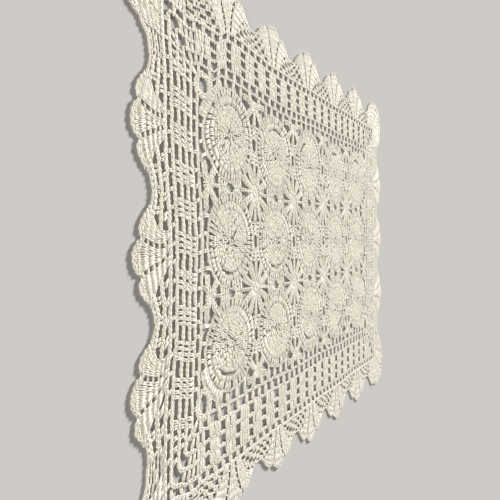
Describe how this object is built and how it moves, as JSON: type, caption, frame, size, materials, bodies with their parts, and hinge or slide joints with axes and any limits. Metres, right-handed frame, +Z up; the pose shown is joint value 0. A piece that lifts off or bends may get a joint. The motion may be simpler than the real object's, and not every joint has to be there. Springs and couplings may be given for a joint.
{
  "type": "crochet table runner",
  "caption": "Flat rectangular crochet table runner of round joined medallions, star fillers and a wide openwork border with a scalloped fan edging.",
  "frame": {"origin": "centre of the runner's bounding box in plan, on the surface it lies on", "axes": "+X along the runner's length, +Y across its width, +Z up"},
  "size_m": [0.5562, 0.407, 0.0036],
  "materials": {
    "medallion_yarn": "matt mercerised cotton yarn, crocheted in the round",
    "star_yarn": "matt mercerised cotton yarn, crocheted star filler",
    "border_yarn": "matt mercerised cotton yarn, crocheted mesh, blocks and fans"
  },
  "bodies": {
    "root": {"border": "border_yarn", "medallion_1_1": "medallion_yarn", "medallion_1_2": "medallion_yarn", "medallion_1_3": "medallion_yarn", "medallion_1_4": "medallion_yarn", "medallion_1_5": "medallion_yarn", "medallion_2_1": "medallion_yarn", "medallion_2_2": "medallion_yarn", "medallion_2_3": "medallion_yarn", "medallion_2_4": "medallion_yarn", "medallion_2_5": "medallion_yarn", "medallion_3_1": "medallion_yarn", "medallion_3_2": "medallion_yarn", "medallion_3_3": "medallion_yarn", "medallion_3_4": "medallion_yarn", "medallion_3_5": "medallion_yarn", "star_1_1": "star_yarn", "star_1_2": "star_yarn", "star_1_3": "star_yarn", "star_1_4": "star_yarn", "star_2_1": "star_yarn", "star_2_2": "star_yarn", "star_2_3": "star_yarn", "star_2_4": "star_yarn"}
  },
  "joints": []
}
